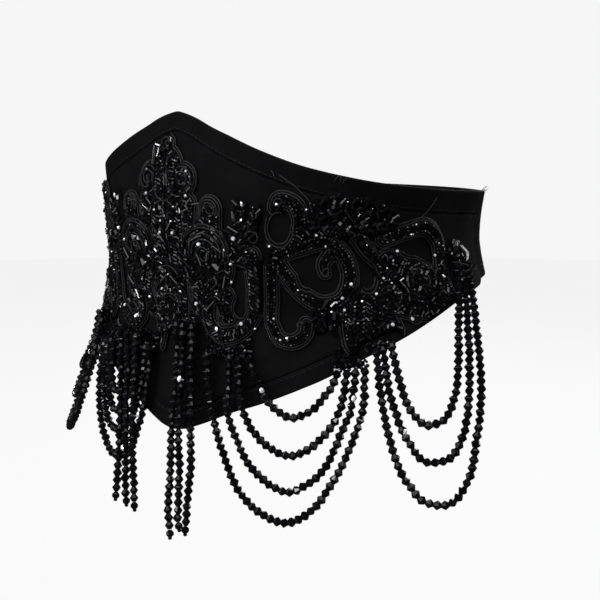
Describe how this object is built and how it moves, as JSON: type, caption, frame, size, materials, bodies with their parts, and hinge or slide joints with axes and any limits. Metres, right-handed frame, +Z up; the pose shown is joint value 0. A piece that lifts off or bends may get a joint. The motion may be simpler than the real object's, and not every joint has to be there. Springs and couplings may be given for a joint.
{
  "type": "beaded corset belt",
  "caption": "Shaped corset belt for stage wear with beaded lace applique, looped bead swags at the hip and hanging bead strands at the front.",
  "frame": {"origin": "middle of the waist that the belt is worn on, at its narrowest level", "axes": "+Z up, -Y to the front of the wearer, +X to the wearer's left"},
  "size_m": [0.2987, 0.1985, 0.2207],
  "materials": {
    "satin": "matte black satin over a stiff lining",
    "band_satin": "black satin band",
    "lace": "black corded lace covered in glossy beads",
    "beads": "glossy opaque black faceted beads",
    "stone": "pale polished stone",
    "metal": "plated steel wire and plate"
  },
  "bodies": {
    "root": {"front_panel": "satin", "top_band": "band_satin", "hem_band": "band_satin", "back_band": "satin", "center_applique": "lace", "left_applique": "lace", "right_applique": "lace", "left_front_swags": "beads", "left_side_swags": "beads", "right_front_swags": "beads", "right_side_swags": "beads", "left_dangles": "beads", "right_dangles": "beads", "left_jewel": "stone", "right_jewel": "stone", "hook_upper": "metal", "hook_middle": "metal", "hook_lower": "metal", "bar_upper": "metal", "bar_middle": "metal", "bar_lower": "metal"}
  },
  "joints": []
}
